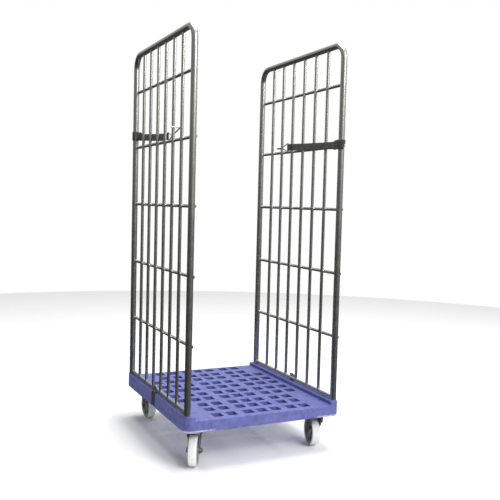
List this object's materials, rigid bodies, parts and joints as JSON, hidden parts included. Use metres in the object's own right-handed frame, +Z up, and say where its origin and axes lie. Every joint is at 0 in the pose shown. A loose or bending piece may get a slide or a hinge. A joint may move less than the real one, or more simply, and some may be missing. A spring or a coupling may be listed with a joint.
{
  "type": "roll cage container",
  "caption": "Two-sided roll cage: latticed plastic deck on swivel and fixed castors, lift-out wire mesh side panels with hooked retaining straps, open front, rear and top.",
  "frame": {"origin": "on the floor under the centre of the base", "axes": "+Z up; +X across the base from the left to the right side panel; +Y from the front (swivel castors) to the rear (fixed castors)"},
  "size_m": [0.6973, 0.8032, 1.718],
  "materials": {
    "blue_plastic": "moulded polyethylene, lightly worn",
    "zinc_tube": "zinc plated",
    "zinc_wire": "zinc plated",
    "zinc_plate": "zinc plated, dull",
    "fastener": "zinc plated",
    "hook_wire": "bright zinc plated",
    "webbing": "woven",
    "wheel_plastic": "moulded polyamide, off-white, scuffed",
    "bush_plastic": "moulded"
  },
  "bodies": {
    "base": {"deck": "blue_plastic", "side_sill_left": "blue_plastic", "side_sill_right": "blue_plastic", "castor_plate_front_left": "zinc_plate", "castor_plate_front_right": "zinc_plate", "kingpin_front_left": "fastener", "kingpin_front_right": "fastener", "castor_bracket_rear_left": "zinc_plate", "castor_bracket_rear_right": "zinc_plate", "plate_bolts_front_left": "fastener", "plate_bolts_front_right": "fastener", "plate_bolts_rear_left": "fastener", "plate_bolts_rear_right": "fastener", "axle_bolt_rear_left": "fastener", "axle_bolt_rear_right": "fastener", "axle_nut_rear_left": "fastener", "axle_nut_rear_right": "fastener"},
    "side_panel_left": {"frame_tube_left": "zinc_tube", "cross_rails_left": "zinc_wire", "bottom_rod_left": "zinc_wire", "upright_wires_left": "zinc_wire", "locking_tongue_left": "zinc_plate"},
    "retaining_strap_left": {"strap_left": "webbing", "strap_hook_left": "hook_wire"},
    "side_panel_right": {"frame_tube_right": "zinc_tube", "cross_rails_right": "zinc_wire", "bottom_rod_right": "zinc_wire", "upright_wires_right": "zinc_wire", "locking_tongue_right": "zinc_plate"},
    "retaining_strap_right": {"strap_right": "webbing", "strap_hook_right": "hook_wire"},
    "swivel_fork_front_left": {"castor_fork_front_left": "zinc_plate", "axle_bolt_front_left": "fastener", "axle_nut_front_left": "fastener"},
    "swivel_fork_front_right": {"castor_fork_front_right": "zinc_plate", "axle_bolt_front_right": "fastener", "axle_nut_front_right": "fastener"},
    "road_wheel_front_left": {"wheel_front_left": "wheel_plastic", "wheel_bush_front_left": "bush_plastic"},
    "road_wheel_front_right": {"wheel_front_right": "wheel_plastic", "wheel_bush_front_right": "bush_plastic"},
    "road_wheel_rear_left": {"wheel_rear_left": "wheel_plastic", "wheel_bush_rear_left": "bush_plastic"},
    "road_wheel_rear_right": {"wheel_rear_right": "wheel_plastic", "wheel_bush_rear_right": "bush_plastic"}
  },
  "joints": [
    {"name": "side_panel_left_lift", "type": "slide", "parent": "base", "child": "side_panel_left", "axis": [0, 0, 1], "range_m": [0, 0.07]},
    {"name": "side_panel_right_lift", "type": "slide", "parent": "base", "child": "side_panel_right", "axis": [0, 0, 1], "range_m": [0, 0.07]},
    {"name": "strap_left_swing", "type": "hinge", "parent": "side_panel_left", "child": "retaining_strap_left", "pos_m": [-0.33, 0.373, 1.338], "axis": [0, 0, 1], "range_deg": [0, 90]},
    {"name": "strap_right_swing", "type": "hinge", "parent": "side_panel_right", "child": "retaining_strap_right", "pos_m": [0.33, -0.373, 1.291], "axis": [0, 0, 1], "range_deg": [0, 90]},
    {"name": "swivel_front_left", "type": "hinge", "parent": "base", "child": "swivel_fork_front_left", "pos_m": [-0.275, -0.318, 0.14], "axis": [0, 0, 1], "continuous": true},
    {"name": "wheel_spin_front_left", "type": "hinge", "parent": "swivel_fork_front_left", "child": "road_wheel_front_left", "pos_m": [-0.28814, -0.34272, 0.0625], "axis": [0.8829, -0.4695, 0], "continuous": true},
    {"name": "swivel_front_right", "type": "hinge", "parent": "base", "child": "swivel_fork_front_right", "pos_m": [0.275, -0.318, 0.14], "axis": [0, 0, 1], "continuous": true},
    {"name": "wheel_spin_front_right", "type": "hinge", "parent": "swivel_fork_front_right", "child": "road_wheel_front_right", "pos_m": [0.28082, -0.29061, 0.0625], "axis": [0.9781, -0.2079, 0], "continuous": true},
    {"name": "wheel_spin_rear_left", "type": "hinge", "parent": "base", "child": "road_wheel_rear_left", "pos_m": [-0.258, 0.335, 0.0625], "axis": [1, 0, 0], "continuous": true},
    {"name": "wheel_spin_rear_right", "type": "hinge", "parent": "base", "child": "road_wheel_rear_right", "pos_m": [0.258, 0.335, 0.0625], "axis": [1, 0, 0], "continuous": true}
  ]
}
